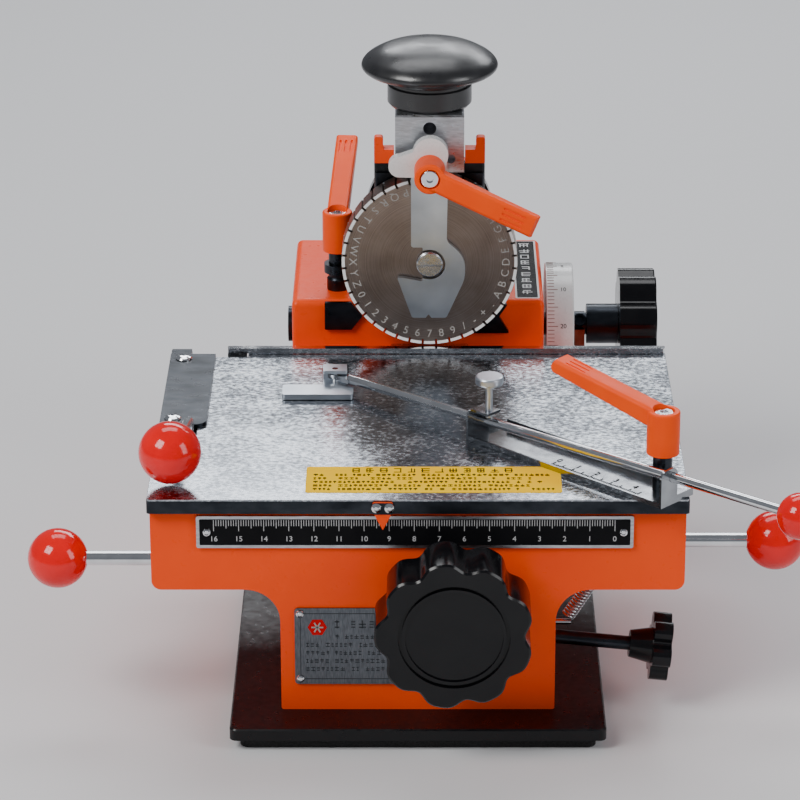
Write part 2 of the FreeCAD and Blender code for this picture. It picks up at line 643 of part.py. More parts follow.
def handwheel():
    wheel = lobed_disc(31.5, 9, 3.4, 23)
    wheel = bevel(wheel, 0.8, lambda c: c.z > 22.9)
    wheel = placed(wheel, (HAND_X, y_of(-13), HAND_Z), (0, -1, 0), 0)
    ring = tube_y(HAND_X, HAND_Z, -37, -34.6, 20.6, 22.2)
    dish = cyl_y(HAND_X, HAND_Z, -37, -35.0, 19.4)
    bore = cyl_y(HAND_X, HAND_Z, -30, 0, SHAFT_R)
    boss = tube_y(HAND_X, HAND_Z, -13, -6, SHAFT_R, 12)
    return wheel.cut([ring, dish]).fuse(boss).cut(bore)


def handwheel_shaft():
    shaft = cyl_y(HAND_X, HAND_Z, -29.5, 80, SHAFT_R)
    flange = cyl_y(HAND_X, HAND_Z, -5.5, -0.6, 9)
    return shaft.fuse(flange)


def involute_pinion():
    """Involute spur gear about +Z, with one tooth centred on +X."""
    pitch_r = MODULE * PINION_TEETH / 2
    base_r = pitch_r * math.cos(math.radians(20))
    tip_r = pitch_r + MODULE * 0.95
    root_r = pitch_r - MODULE * 1.25
    inv20 = math.tan(math.radians(20)) - math.radians(20)
    half_at_pitch = math.pi / (2 * PINION_TEETH) - 0.10 / pitch_r

    def flank(radius):
        """Half of the tooth's angle at a radius."""
        if radius <= base_r:
            return half_at_pitch + inv20
        pressure = math.acos(base_r / radius)
        return half_at_pitch + inv20 - (math.tan(pressure) - pressure)

    radii = [root_r, base_r] + [base_r + (tip_r - base_r) * k / 5 for k in range(1, 6)]
    points = []
    for tooth in range(PINION_TEETH):
        middle = 2 * math.pi * tooth / PINION_TEETH
        low = [(r, middle - flank(r)) for r in radii]
        high = [(r, middle + flank(r)) for r in reversed(radii)]
        points += [V(r * math.cos(a), r * math.sin(a), 0) for r, a in low + high]
    wire = Part.makePolygon(points + [points[0]])
    return Part.Face(wire).extrude(V(0, 0, RACK_D1 - RACK_D0 + 2))


def drive_pinion():
    gear = involute_pinion()
    gear = placed(gear, (HAND_X, y_of(RACK_D1 + 1), HAND_Z), (0, -1, 0))
    gear.rotate(V(HAND_X, 0, HAND_Z), Y_AXIS, -90)
    return gear.cut(cyl_y(HAND_X, HAND_Z, 40, 80, SHAFT_R))


def drive_rack():
    """Rack under the table; one tooth space stands over the pinion's top tooth."""
    pitch_z = HAND_Z + MODULE * PINION_TEETH / 2
    pitch = math.pi * MODULE
    slope = math.tan(math.radians(20))
    block = box(RACK_X0, RACK_X1, RACK_D0, RACK_D1, pitch_z - MODULE * 0.95, TABLE_Z0)
    spaces = []
    first = math.floor((RACK_X0 - HAND_X) / pitch) - 1
    last = math.ceil((RACK_X1 - HAND_X) / pitch) + 1
    for k in range(first, last):
        x = HAND_X + k * pitch
        z0 = pitch_z - MODULE * 1.5
        z1 = pitch_z + MODULE * 1.25
        wide = pitch / 4 + 0.10 + slope * (pitch_z - z0)
        narrow = pitch / 4 + 0.10 - slope * (z1 - pitch_z)
        outline = [(x - wide, z0, 0), (x - narrow, z1, 0), (x + narrow, z1, 0), (x + wide, z0, 0)]
        spaces.append(plate_xz(outline, RACK_D0 - 1, RACK_D1 + 1))
    return block.cut(spaces)


# ---------------------------------------------------------------- table
BAR_X0 = -98.0
BAR_X1 = -92.0
BAR_D0 = 64.0
BAR_D1 = 157.5
RAIL_D0 = 155.4
RAIL_D1 = 158.8
RAIL_X0 = -83.0
BAR_Z0 = 99.6
BAR_Z1 = 102.0
CLAMP_PIVOT_D = 110.0
BAR_MID_Z = (BAR_Z0 + BAR_Z1) / 2
BRACKET_X = 97.3
BRACKET_D = 6.2
POINTER_X = -14.0
POINTER_T = 0.9
POINTER_SCREWS = [(POINTER_X - 2.6, 101.4), (POINTER_X + 2.6, 101.4)]
COVER_T = 1.6
SIDE_SCREWS = [(-101.6, 146.0), (-102.2, 77.5)]
BALL_D = 11.0
BALL_Z = 118.7
GRIP_HOLE_R = 3.1


def table_slot(z0, z1):
    """Slot over the clamp bar, with a side branch to the rail."""
    long_slot = box(BAR_X0 - 0.5, BAR_X1 + 0.5, BAR_D0 - 0.8, TABLE_D1 + 1, z0, z1)
    branch = box(BAR_X0 - 0.5, RAIL_X0 + 9, RAIL_D0 - 3.6, TABLE_D1 + 1, z0, z1)
    return long_slot.fuse(branch)


def table_plate():
    half = TABLE_W / 2
    top = TABLE_Z1 - SHEET_T
    plate = rounded_plate(-half, half, TABLE_D0, TABLE_D1, TABLE_Z0, top, 1.5)
    cuts = [table_slot(TABLE_Z0 - 1, top + 1)]
    cuts.append(cyl_x(CLAMP_PIVOT_D, BAR_MID_Z, BAR_X0 - 4.2, BAR_X1 + 4.2, 1.0 + GAP))
    cuts.append(cyl_z(BRACKET_X, BRACKET_D, TABLE_Z0 - 1, top + 1, 4.0))
    return plate.cut(cuts)


def table_sheet():
    half = TABLE_W / 2 - 0.3
    sheet = rounded_plate(-half, half, TABLE_D0 + 0.3, TABLE_D1 - 0.2, TABLE_Z1 - SHEET_T, TABLE_Z1, 1.2)
    return sheet.cut([table_slot(TABLE_Z1 - 2, TABLE_Z1 + 1),
                      cyl_z(BRACKET_X, BRACKET_D, TABLE_Z0, TABLE_Z1 + 1, 4.0)])


def side_cover():
    """Dark steel cover over the clamp bar."""
    cover = plate_xy([(-107.4, 71.5, 1), (-107.4, 157.6, 1), (-88, 157.6, 1), (-88, 71.0, 5)],
                     TABLE_Z1, TABLE_Z1 + COVER_T)
    relief = box(BAR_X0 - 0.6, BAR_X1 + 0.6, 140, 158.5, TABLE_Z1 - 1, TABLE_Z1 + 0.9)
    foot_gap = box(BAR_X0 - 0.6, -87, RAIL_D0 - 3.6, 158.5, TABLE_Z1 - 1, TABLE_Z1 + 2)
    holes = [cyl_z(x, d, TABLE_Z1 - 1, TABLE_Z1 + 3, 1.5 + GAP) for x, d in SIDE_SCREWS]
    return cover.cut([relief, foot_gap] + holes)


def slide_blocks():
    """Two bored blocks that carry the table on the guide rods."""
    blocks = []
    for rod_d in ROD_DS:
        x0 = CARRIAGE_X - CARRIAGE_W / 2
        block = box(x0, x0 + CARRIAGE_W, rod_d - 9, rod_d + 9, ROD_Z - 7.5, TABLE_Z0)
        blocks.append(block.cut(cyl_x(rod_d, ROD_Z, x0 - 1, x0 + CARRIAGE_W + 1, ROD_R + GAP)))
    return together(blocks)


def position_pointer():
    """Pointer on the table's front edge: a bent tab that ends in a point over the ruler."""
    outline = [(POINTER_X - 4.2, 103.6, 0.8), (POINTER_X + 4.2, 103.6, 0.8),
               (POINTER_X + 3.4, 98.6, 0), (POINTER_X, 91.8, 0.2), (POINTER_X - 3.4, 98.6, 0)]
    pointer = plate_xz(outline, TABLE_D0 - POINTER_T, TABLE_D0)
    return drilled(pointer, POINTER_SCREWS, SMALL_SHANK_R + GAP, TABLE_D0 - POINTER_T, TABLE_D0)


def table_screws():
    screws = []
    for x, z in POINTER_SCREWS:
        centre = (x, y_of(TABLE_D0 - POINTER_T), z)
        screws.append(dome_screw(centre, (0, -1, 0), 2.1, 1.3, SMALL_SHANK_R, POINTER_T * 0.9))
    for x, d in SIDE_SCREWS:
        centre = (x, y_of(d), TABLE_Z1 + COVER_T)
        screws.append(dome_screw(centre, (0, 0, 1), 3.6, 1.6, 1.5, COVER_T * 0.95))
    return together(screws)


def bracket_stud():
    profile = [(0, TABLE_Z0 + 0.1), (3.95, TABLE_Z0 + 0.1), (3.95, 120.6), (3 + GAP, 120.6),
               (3 + GAP, 114.5), (0, 114.5)]
    return lathe(profile, (BRACKET_X, y_of(BRACKET_D), 0), (0, 0, 1))


# rail clamp: bar under the side cover, rail behind, ball in front
def clamp_bar():
    bar = box(BAR_X0, BAR_X1, BAR_D0, BAR_D1, BAR_Z0, BAR_Z1)
    foot = box(BAR_X0, RAIL_X0 + 8.4, RAIL_D0 - 2.8, BAR_D1, BAR_Z0, BAR_Z1)
    lift = box(RAIL_X0, RAIL_X0 + 8.4, RAIL_D0, BAR_D1, BAR_Z1 - 0.5, TABLE_Z1 + 0.3)
    pins = cyl_x(CLAMP_PIVOT_D, BAR_MID_Z, BAR_X0 - 4, BAR_X1 + 4, 1.0)
    start = V((BAR_X0 + BAR_X1) / 2, y_of(BAR_D0 + 3), BAR_MID_Z - 0.6)
    knee = V(start.x, start.y, TABLE_Z1 + 4.4)
    post = Part.makeCylinder(2.2, knee.z - start.z, start, Z_AXIS)
    ball = V(-99.0, y_of(BALL_D), BALL_Z)
    rod = Part.makeCylinder(2.2, (ball - knee).Length - 4, knee, ball - knee)
    joint = Part.makeSphere(2.2, knee)
    return bar.fuse([foot, lift, pins, post, joint, rod])


def ball_grip(centre, toward, radius):
    """Round plastic grip with a blind hole for its rod, which comes from toward."""
    ball = Part.makeSphere(radius, centre)
    way = (toward - centre).normalize()
    hole = Part.makeCylinder(GRIP_HOLE_R, radius, centre + way * 3.5, way)
    return ball.cut(hole)


def clamp_ball():
    centre = V(-99.0, y_of(BALL_D), BALL_Z)
    knee = V((BAR_X0 + BAR_X1) / 2, y_of(BAR_D0 + 3), TABLE_Z1 + 4.4)
    return ball_grip(centre, knee, 12.6)


def clamp_rail():
    rail = rounded_plate(RAIL_X0, TABLE_W / 2 - 0.2, RAIL_D0, RAIL_D1, TABLE_Z1 + 0.3, TABLE_Z1 + 2.6, 0.8)
    return rail


# ---------------------------------------------------------------- ball levers at the sides
SIDE_BALL_X = 145.8
SIDE_BALL_R = 12.2


def side_lever(side, lever_d, lever_z):
    """Hub on a vertical stub in the tray floor, with a rod out through the side wall."""
    pivot = V(side * LEVER_PIVOT_X, y_of(lever_d), lever_z)
    hub = cyl_z(pivot.x, lever_d, TRAY_FLOOR_Z + 0.2, lever_z + 4.2, 6.6)
    stub = cyl_z(pivot.x, lever_d, WING_Z0 + 0.2, TRAY_FLOOR_Z + 1, 2.5)
    rod = Part.makeCylinder(3, SIDE_BALL_X - LEVER_PIVOT_X - 4, pivot, V(side, 0, 0))
    return hub.fuse([stub, rod])


def side_ball(side, lever_d, lever_z):
    centre = V(side * SIDE_BALL_X, y_of(lever_d), lever_z)
    return ball_grip(centre, V(0, centre.y, centre.z), SIDE_BALL_R)


def lever_spring():
    """Close-wound tension spring between the pedestal and the underside of the right wing."""
    start = V(CAST_W / 2 + 5.0, y_of(30), 36)
    stop = V(CAST_W / 2 + 17.0, y_of(30), 55)
    length = (stop - start).Length
    helix = Part.makeHelix(1.45, length - 4, 2.4)
    section = Part.Wire(Part.makeCircle(0.5, V(2.4, 0, 0), Y_AXIS))
    coil = Part.Wire(helix.Edges).makePipeShell([section], True, True)
    coil.Placement = FreeCAD.Placement(start + (stop - start).normalize() * 2,
                                       FreeCAD.Rotation(Z_AXIS, stop - start))
    return coil


def spring_anchors():
    """Two pins that hold the spring: one in the pedestal, one under the wing."""
    low = cyl_x(30, 35.2, CAST_W / 2, CAST_W / 2 + 7.5, 1.2)
    high = cyl_z(CAST_W / 2 + 17.8, 30, 56.4, WING_Z0, 1.2)
    return [low, high]


# ---------------------------------------------------------------- right dial
CAM_TOP_R = 12.0
FINGER_X0 = 70.3
FINGER_X1 = 75.2


def dial_drum():
    x0 = CAST_W / 2 + 1.8
    drum = tube_x(DIAL_D, DIAL_Z, x0, x0 + 12.2, SHAFT_R, DIAL_R)
    return bevel(drum, 0.6, lambda c: abs(c.x - (x0 + 12.2)) < 0.01)


def dial_shaft():
    """Shaft through the column: stop finger and hub outside, spiral cam inside."""
    half = CAST_W / 2
    shaft = cyl_x(DIAL_D, DIAL_Z, -half - 3, 95, SHAFT_R)
    finger = box(FINGER_X0, FINGER_X1, DIAL_D - 5.6, DIAL_D + 5.6, DIAL_Z - 14.6, DIAL_Z)
    finger = finger.fuse(cyl_x(DIAL_D, DIAL_Z, FINGER_X0, FINGER_X1, 5.6))
    way = V(0, -math.cos(math.radians(35)), math.sin(math.radians(35)))
    middle = V((FINGER_X0 + FINGER_X1) / 2, y_of(DIAL_D), DIAL_Z)
    set_screw = Part.makeCylinder(2.8, 7.4, middle, way)
    socket = Part.makeCylinder(1.9, 2, middle + way * 5.9, way)
    hub = cyl_x(DIAL_D, DIAL_Z, 76.0, 90.0, 9)
    end = cyl_x(DIAL_D, DIAL_Z, -half - 3, -half - 0.6, 8)
    steps = 36
    points = []
    for i in range(steps + 1):
        turn = 2 * math.pi * i / steps
        radius = CAM_TOP_R - CAM_LIFT_PER_RAD * turn
        points.append(V(HEAD_X - 5, -radius * math.sin(turn), radius * math.cos(turn)))
    wire = Part.makePolygon(points + [points[0]])
    cam = Part.Face(wire).extrude(V(10, 0, 0))
    cam.translate(V(0, y_of(DIAL_D), DIAL_Z))
    return shaft.fuse([finger, set_screw, hub, end, cam]).cut(socket)


def dial_knob():
    knob = lobed_disc(25, 8, 3.4, 16.5)
    knob = bevel(knob, 0.6, lambda c: c.z > 16.4)
    knob = placed(knob, (90.2, y_of(DIAL_D), DIAL_Z), (1, 0, 0), -4)
    dish = cyl_x(DIAL_D, DIAL_Z, 105.2, 108, 15)
    return knob.cut([cyl_x(DIAL_D, DIAL_Z, 80, 95.2, SHAFT_R), dish])


# ---------------------------------------------------------------- stop screw on the right
STOP_SCREW_R = 2.9
STOP_SCREW_D = 24.0
STOP_SCREW_Z = 31.5
STOP_TILT = 6.0


def stop_screw_solid(radius, x0, x1, extra):
    screw = Part.makeCylinder(radius, x1 - x0 + extra, V(x0 - CAST_W / 2, 0, 0), X_AXIS)
    screw.rotate(V(0, 0, 0), Y_AXIS, STOP_TILT)
    screw.translate(V(CAST_W / 2, y_of(STOP_SCREW_D), STOP_SCREW_Z))
    return screw


def stop_screw():
    return stop_screw_solid(STOP_SCREW_R, 41, 92, 0)


def star_knob():
    knob = lobed_disc(14.0, 6, 3.8, 7.5)
    knob.translate(V(0, 0, 9))
    hub = Part.makeCone(5.6, 7.6, 9.5, V(0, 0, 0), Z_AXIS)
    knob = knob.fuse(hub)
    bore = Part.makeCylinder(STOP_SCREW_R, 6, V(0, 0, -1), Z_AXIS)
    knob = knob.cut(bore)
    knob.rotate(V(0, 0, 0), Y_AXIS, 90)
    knob.translate(V(87 - CAST_W / 2, 0, 0))
    knob.rotate(V(0, 0, 0), Y_AXIS, STOP_TILT)
    knob.translate(V(CAST_W / 2, y_of(STOP_SCREW_D), STOP_SCREW_Z))
    return knob


# ---------------------------------------------------------------- angle stop on the table
ARM_ANGLE = -43.1
BRACKET_L = 104.0
BRACKET_WIDTH = 20.0
END_WIDTH = 13.0
ROD_TILT = 2.1
ARM_R = 2.0
CORNER = (19.8, 57.7)
FOOT_X = -35.4
FOOT_D = 119.0
ARM_FOOT_Z = 109.3
ARM_LENGTH = 244.0


def along_bracket(shape):
    """Bracket frame: +X runs along the bracket from its left end, +Y to its rear side."""
    result = shape.copy()
    result.rotate(V(0, 0, 0), Z_AXIS, ARM_ANGLE)
    result.translate(V(CORNER[0], y_of(CORNER[1]), 0))
    return result


def arm_direction():
    flat = math.cos(math.radians(ROD_TILT))
    angle = math.radians(ARM_ANGLE)
    return V(flat * math.cos(angle), flat * math.sin(angle), math.sin(math.radians(ROD_TILT)))


def arm_height(distance):
    """Height of the rod's axis at a plan distance from its pivot."""
    return ARM_FOOT_Z + distance * math.tan(math.radians(ROD_TILT))


def bracket_start():
    """Plan distance from the rod's pivot to the bracket's left end."""
    return math.hypot(CORNER[0] - FOOT_X, FOOT_D - CORNER[1])


def arm_cylinder(radius, start, stop):
    way = arm_direction()
    origin = V(FOOT_X, y_of(FOOT_D), ARM_FOOT_Z)
    return Part.makeCylinder(radius, stop - start, origin + way * start, way)


def guide_bracket():
    """Bent sheet: a graduated base with a near lip and a low far wall, and two upright ends."""
    z0 = TABLE_Z1 + 0.1
    sheet = 1.0
    base = Part.makeBox(BRACKET_L, BRACKET_WIDTH, sheet, V(0, 0, z0))
    lip = Part.makeBox(BRACKET_L, sheet, 2.2, V(0, 0, z0))
    wall = Part.makeBox(80, sheet, 5.4, V(5.5, BRACKET_WIDTH - sheet, z0))
    left = Part.makeBox(sheet, END_WIDTH, 13.2, V(0, 0, z0))
    left_low = Part.makeBox(sheet, BRACKET_WIDTH, 3.2, V(0, 0, z0))
    flange = Part.makeBox(9.5, 8, sheet, V(0, 2.5, z0 + 12.2))
    right = Part.makeBox(sheet, 10, 15.4, V(BRACKET_L - sheet, 0, z0))
    right_low = Part.makeBox(sheet, BRACKET_WIDTH, 3.2, V(BRACKET_L - sheet, 0, z0))
    left = left.makeFillet(2.5, [e for e in left.Edges
                                 if e.CenterOfMass.z > z0 + 13 and abs(e.CenterOfMass.x - 0.5) < 0.1])
    right = right.makeFillet(3, [e for e in right.Edges if e.CenterOfMass.z > z0 + 15
                                 and abs(e.CenterOfMass.x - BRACKET_L + 0.5) < 0.1])
    bracket = base.fuse([lip, wall, left, left_low, flange, right, right_low]).removeSplitter()
    bracket = along_bracket(bracket)
    screw_hole = along_bracket(Part.makeCylinder(1.5 + GAP, 30, V(6.4, 6.9, z0 + 4), Z_AXIS))
    return bracket.cut([arm_cylinder(ARM_R + 0.12, 20, 220), screw_hole,
                        cyl_z(BRACKET_X, BRACKET_D, TABLE_Z0, 130, 3.95 + GAP)])


def guide_lever_place(shape):
    result = shape.copy()
    result.rotate(V(0, 0, 0), Z_AXIS, 140)
    result.translate(V(BRACKET_X, y_of(BRACKET_D), 120.8))
    return result


def guide_lever():
    return guide_lever_place(lever_arm(52, 12))


def guide_lever_screw():
    return guide_lever_place(lever_screw())


def thumb_screw():
    z_rod = arm_height(bracket_start() + 6.4) + ARM_R + 0.1
    stem = Part.makeCylinder(1.5, 16, V(6.4, 6.9, z_rod), Z_AXIS)
    collar = Part.makeCylinder(2.6, 1.6, V(6.4, 6.9, z_rod + 13.2), Z_AXIS)
    head = Part.makeCylinder(5.8, 3.6, V(6.4, 6.9, z_rod + 14.6), Z_AXIS)
    head = head.makeFillet(0.9, [head.Edges[0], head.Edges[2]])
    return along_bracket(stem.fuse([collar, head]))


def guide_rod():
    """Long thin rod that slides through the bracket; its flat end pivots on the foot."""
    rod = arm_cylinder(ARM_R, 9, ARM_LENGTH)
    eye = cyl_z(FOOT_X, FOOT_D, ARM_FOOT_Z - 0.9, ARM_FOOT_Z + 0.9, 3.2)
    angle = math.radians(ARM_ANGLE)
    tongue = Part.makeBox(10, 5, 1.8, V(0, -2.5, ARM_FOOT_Z - 0.9))
    tongue.rotate(V(0, 0, 0), Z_AXIS, math.degrees(angle))
    tongue.translate(V(FOOT_X, y_of(FOOT_D), 0))
    pin = cyl_z(FOOT_X, FOOT_D, TABLE_Z1 + 0.6, 112.2, 1.3)
    return rod.fuse([eye, tongue, pin])


def guide_ball():
    way = arm_direction()
    origin = V(FOOT_X, y_of(FOOT_D), ARM_FOOT_Z)
    centre = origin + way * (ARM_LENGTH + 5.5)
    ball = Part.makeSphere(9.2, centre)
    hole = Part.makeCylinder(ARM_R, 12, centre - way * 13.5, way)
    return ball.cut(hole)


def stop_foot():
    """Flat stop bar with a small fork for the rod's end."""
    z0 = TABLE_Z1 + 0.3
    bar = rounded_plate(-57.5, -27.5, 101.5, 113.0, z0, z0 + 2.4, 1.2)
    neck = rounded_plate(-40.5, -30.3, 108, 124, z0, z0 + 1.4, 1.0)
    post = box(-40.5, -30.3, 122.6, 124, z0, z0 + 7.4)
    top = rounded_plate(-40.5, -30.3, 116.0, 124, z0 + 6.0, z0 + 7.4, 0.6)
    foot = bar.fuse([neck, post, top])
    return foot.cut(cyl_z(FOOT_X, FOOT_D, z0 - 1, z0 + 9, 1.3 + GAP))


# ---------------------------------------------------------------- springs in the head
def ram_spring():
    room = SPRING_ROOM - 0.2
    helix = Part.makeHelix(1.7, room - 1.6, 4.2)
    section = Part.Wire(Part.makeCircle(0.55, V(4.2, 0, 0), Y_AXIS))
    coil = Part.Wire(helix.Edges).makePipeShell([section], True, True)
    coil.translate(V(HEAD_X, y_of(SPRING_D), RAM_FOOT_Z - SPRING_ROOM + 0.8))
    return coil


# ---------------------------------------------------------------- write the parts
def build():
    left, right = LEVERS
    body, column = body_and_column()
    return {
        "base_pad": base_pad(),
        "base_plate": base_plate(),
        "base_bolts": base_bolts(),
        "body_casting": body,
        "column_casting": column,
        "guide_rods": guide_rods(),
        "shaft_bushes": shaft_bushes(),
        "ruler_strip": ruler_strip(),
        "data_plate": data_plate(),
        "frame_screws": frame_screws(),
        "head_housing": head_housing(),
        "head_cap": head_cap(),
        "keeper_plates": keeper_plates(),
        "rear_cover": rear_cover(),
        "anvil": anvil(),
        "index_plates": index_plates(),
        "clamp_stud": clamp_stud(),
        "ram_spring": ram_spring(),
        "lever_spring": lever_spring(),
        "ram_slide": ram_slide(),
        "detent_plunger": detent_plunger(),
        "press_knob": press_knob(),
        "wheel_spindle": wheel_spindle(),
        "type_wheel": type_wheel(),
        "hook_plate": hook_plate(),
        "front_lever": front_lever(),
        "front_lever_screw": front_lever_screw(),
        "cam_lug": cam_lug(),
        "left_clamp_lever": left_clamp_lever(),
        "left_clamp_screw": left_clamp_screw(),
        "handwheel": handwheel(),
        "handwheel_shaft": handwheel_shaft(),
        "drive_pinion": drive_pinion(),
        "table_plate": table_plate(),
        "table_sheet": table_sheet(),
        "drive_rack": drive_rack(),
        "slide_blocks": slide_blocks(),
        "side_cover": side_cover(),
        "position_pointer": position_pointer(),
        "table_screws": table_screws(),
        "bracket_stud": bracket_stud(),
        "clamp_bar": clamp_bar(),
        "clamp_ball": clamp_ball(),
        "clamp_rail": clamp_rail(),
        "left_lever": side_lever(*left),
        "left_ball": side_ball(*left),
        "right_lever": side_lever(*right),
        "right_ball": side_ball(*right),
        "dial_drum": dial_drum(),
        "dial_shaft": dial_shaft(),
        "dial_knob": dial_knob(),
        "stop_screw": stop_screw(),
        "star_knob": star_knob(),
        "guide_bracket": guide_bracket(),
        "guide_lever": guide_lever(),
        "guide_lever_screw": guide_lever_screw(),
        "thumb_screw": thumb_screw(),
        "guide_rod": guide_rod(),
        "guide_ball": guide_ball(),
        "stop_foot": stop_foot(),
    }


os.makedirs("parts", exist_ok=True)
for name, shape in build().items():
    shape.exportStep("parts/" + name + ".step")
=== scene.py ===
"""Looks of the nameplate marking machine: materials, printed marks, lights and camera.

Metres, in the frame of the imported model.  +X is to the operator's right, +Y is
away from the operator and +Z is up.
"""
import json
import math
import random

import bmesh
import bpy
from mathutils import Matrix, Vector


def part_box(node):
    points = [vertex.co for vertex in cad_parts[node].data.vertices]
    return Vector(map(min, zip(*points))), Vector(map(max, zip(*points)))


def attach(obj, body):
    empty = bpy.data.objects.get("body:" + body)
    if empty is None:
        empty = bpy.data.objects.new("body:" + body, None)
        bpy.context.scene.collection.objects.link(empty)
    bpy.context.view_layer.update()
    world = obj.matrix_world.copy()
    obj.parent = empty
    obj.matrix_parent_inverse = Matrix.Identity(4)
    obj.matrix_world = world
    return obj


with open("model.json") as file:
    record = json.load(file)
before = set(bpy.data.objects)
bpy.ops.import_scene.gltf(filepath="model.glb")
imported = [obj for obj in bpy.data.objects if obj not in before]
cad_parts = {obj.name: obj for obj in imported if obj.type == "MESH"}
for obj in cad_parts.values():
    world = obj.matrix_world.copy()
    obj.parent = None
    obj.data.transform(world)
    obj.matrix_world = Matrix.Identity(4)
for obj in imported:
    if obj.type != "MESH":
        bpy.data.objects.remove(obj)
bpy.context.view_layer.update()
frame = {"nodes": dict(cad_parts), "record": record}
MM = 0.001
DECAL = 0.00012                 # thickness of printed marks and stickers

wheel_low, wheel_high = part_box("type_wheel")
WHEEL_X = (wheel_low[0] + wheel_high[0]) / 2
WHEEL_Z = (wheel_low[2] + wheel_high[2]) / 2
WHEEL_R = (wheel_high[0] - wheel_low[0]) / 2


# ---------------------------------------------------------------- materials
NOISE_LOW = 0.3                 # the part of a noise's range that is used
NOISE_HIGH = 0.7


def principled(material):
    return material.node_tree.nodes["Principled BSDF"]


def new_material(name, colour, roughness, metallic=0.0, coat=0.0, coat_roughness=0.1,
                 ior=1.5, gloss=0.5):
    """A Principled material with fixed numbers on its own sockets."""
    material = bpy.data.materials.new(name)
    material.use_nodes = True
    shader = principled(material)
    shader.inputs["Base Color"].default_value = (*colour, 1.0)
    shader.inputs["Roughness"].default_value = roughness
    shader.inputs["Metallic"].default_value = metallic
    shader.inputs["Coat Weight"].default_value = coat
    shader.inputs["Coat Roughness"].default_value = coat_roughness
    shader.inputs["IOR"].default_value = ior
    shader.inputs["Specular IOR Level"].default_value = gloss
    return material


def node(material, kind, **settings):
    """Add a node; a setting is an input's value, or else the node's own property."""
    made = material.node_tree.nodes.new(kind)
    for key, value in settings.items():
        if key in made.inputs:
            made.inputs[key].default_value = value
        else:
            setattr(made, key, value)
    return made


def join(material, source, output, target, socket):
    material.node_tree.links.new(source.outputs[output], target.inputs[socket])


def stretched(material, scale):
    """Object coordinates stretched by scale, so that grain can run one way."""
    coordinates = node(material, "ShaderNodeTexCoord")
    mapping = node(material, "ShaderNodeMapping")
    mapping.inputs["Scale"].default_value = scale
    join(material, coordinates, "Object", mapping, "Vector")
    return mapping


def noise(material, size, detail=3.0, stretch=(1, 1, 1)):
    """Noise whose features are about size metres across."""
    made = node(material, "ShaderNodeTexNoise", Scale=1.0, Detail=detail)
    mapping = stretched(material, [s / size for s in stretch])
    join(material, mapping, "Vector", made, "Vector")
    return made


def multiplied(material, source, output, factor):
    made = node(material, "ShaderNodeMath", operation="MULTIPLY")
    made.inputs[1].default_value = factor
    join(material, source, output, made, 0)
    return made


def ramp_colour(material, source, stops, output="Fac"):
    """Let a value move the base colour through stops, each a position and a colour."""
    ramp = node(material, "ShaderNodeValToRGB")
    elements = ramp.color_ramp.elements
    first, *between, last = stops
    for element, (position, colour) in ((elements[0], first), (elements[1], last)):
        element.position = position
        element.color = (*colour, 1)
    for position, colour in between:
        elements.new(position).color = (*colour, 1)
    join(material, source, output, ramp, "Fac")
    join(material, ramp, "Color", principled(material), "Base Color")


def vary_colour(material, source, dark, light):
    """Let a noise move the base colour between two shades."""
    ramp_colour(material, source, ((NOISE_LOW, dark), (NOISE_HIGH, light)))


def vary_roughness(material, source, low, high, start=NOISE_LOW, end=NOISE_HIGH, output="Fac"):
    """Let a value that goes from start to end move the roughness from low to high."""
    span = node(material, "ShaderNodeMapRange")
    span.inputs["From Min"].default_value = start
    span.inputs["From Max"].default_value = end
    span.inputs["To Min"].default_value = low
    span.inputs["To Max"].default_value = high
    join(material, source, output, span, "Value")
    join(material, span, "Result", principled(material), "Roughness")


def bumpy(material, source, depth, strength=1.0):
    bump = node(material, "ShaderNodeBump", Strength=strength, Distance=depth)
    join(material, source, "Fac", bump, "Height")
    join(material, bump, "Normal", principled(material), "Normal")


def painted(name, dark, light, roughness, grain, depth, coat=0.3, ior=1.5, gloss=0.5):
    """Sprayed enamel with slight orange peel and uneven gloss."""
    material = new_material(name, light, roughness, coat=coat, coat_roughness=0.16,
                            ior=ior, gloss=gloss)
    vary_colour(material, noise(material, 0.03), dark, light)
    fine = noise(material, grain, 1.5)
    vary_roughness(material, fine, roughness * 0.75, roughness * 1.25)
    bumpy(material, fine, depth)
    return material


def metal(name, dark, light, low, high, size=0.004, stretch=(1, 1, 1), depth=0.00002):
    """Bare or plated metal with grain that may run one way."""
    material = new_material(name, light, low, metallic=1.0)
    grain = noise(material, size, 3, stretch)
    vary_colour(material, grain, dark, light)
    vary_roughness(material, noise(material, size * 0.7, 4, stretch), low, high)
    bumpy(material, grain, depth)
    return material


def plastic(name, dark, light, low, high, coat=0.4, size=0.012, gloss=0.5):
    """Moulded plastic, glossy, with faint handling marks."""
    material = new_material(name, light, low, coat=coat, coat_roughness=0.06, gloss=gloss)
    vary_colour(material, noise(material, size), dark, light)
    vary_roughness(material, noise(material, size * 0.4, 3), low, high)
    bumpy(material, noise(material, 0.003, 1), 0.000006)
    return material


def spangled_sheet():
    """Polished galvanised sheet: fine mottled spangle over broad cloudy patches."""
    material = new_material("mottled_sheet", (0.6, 0.63, 0.66), 0.2, metallic=1.0)
    fine = noise(material, 0.0016, 4, (0.8, 1.1, 1))
    broad = noise(material, 0.022, 3)
    spangle = node(material, "ShaderNodeMath", operation="MULTIPLY_ADD")
    spangle.inputs[1].default_value = 0.45
    join(material, broad, "Fac", spangle, 0)
    join(material, fine, "Fac", spangle, 2)
    shades = ((0.56, (0.22, 0.24, 0.27)), (0.72, (0.36, 0.385, 0.42)), (0.90, (0.62, 0.65, 0.69)))
    ramp_colour(material, spangle, shades, "Value")
    vary_roughness(material, spangle, 0.15, 0.30, 0.55, 0.90, "Value")
    bumpy(material, fine, 0.000012, 0.5)
    return material


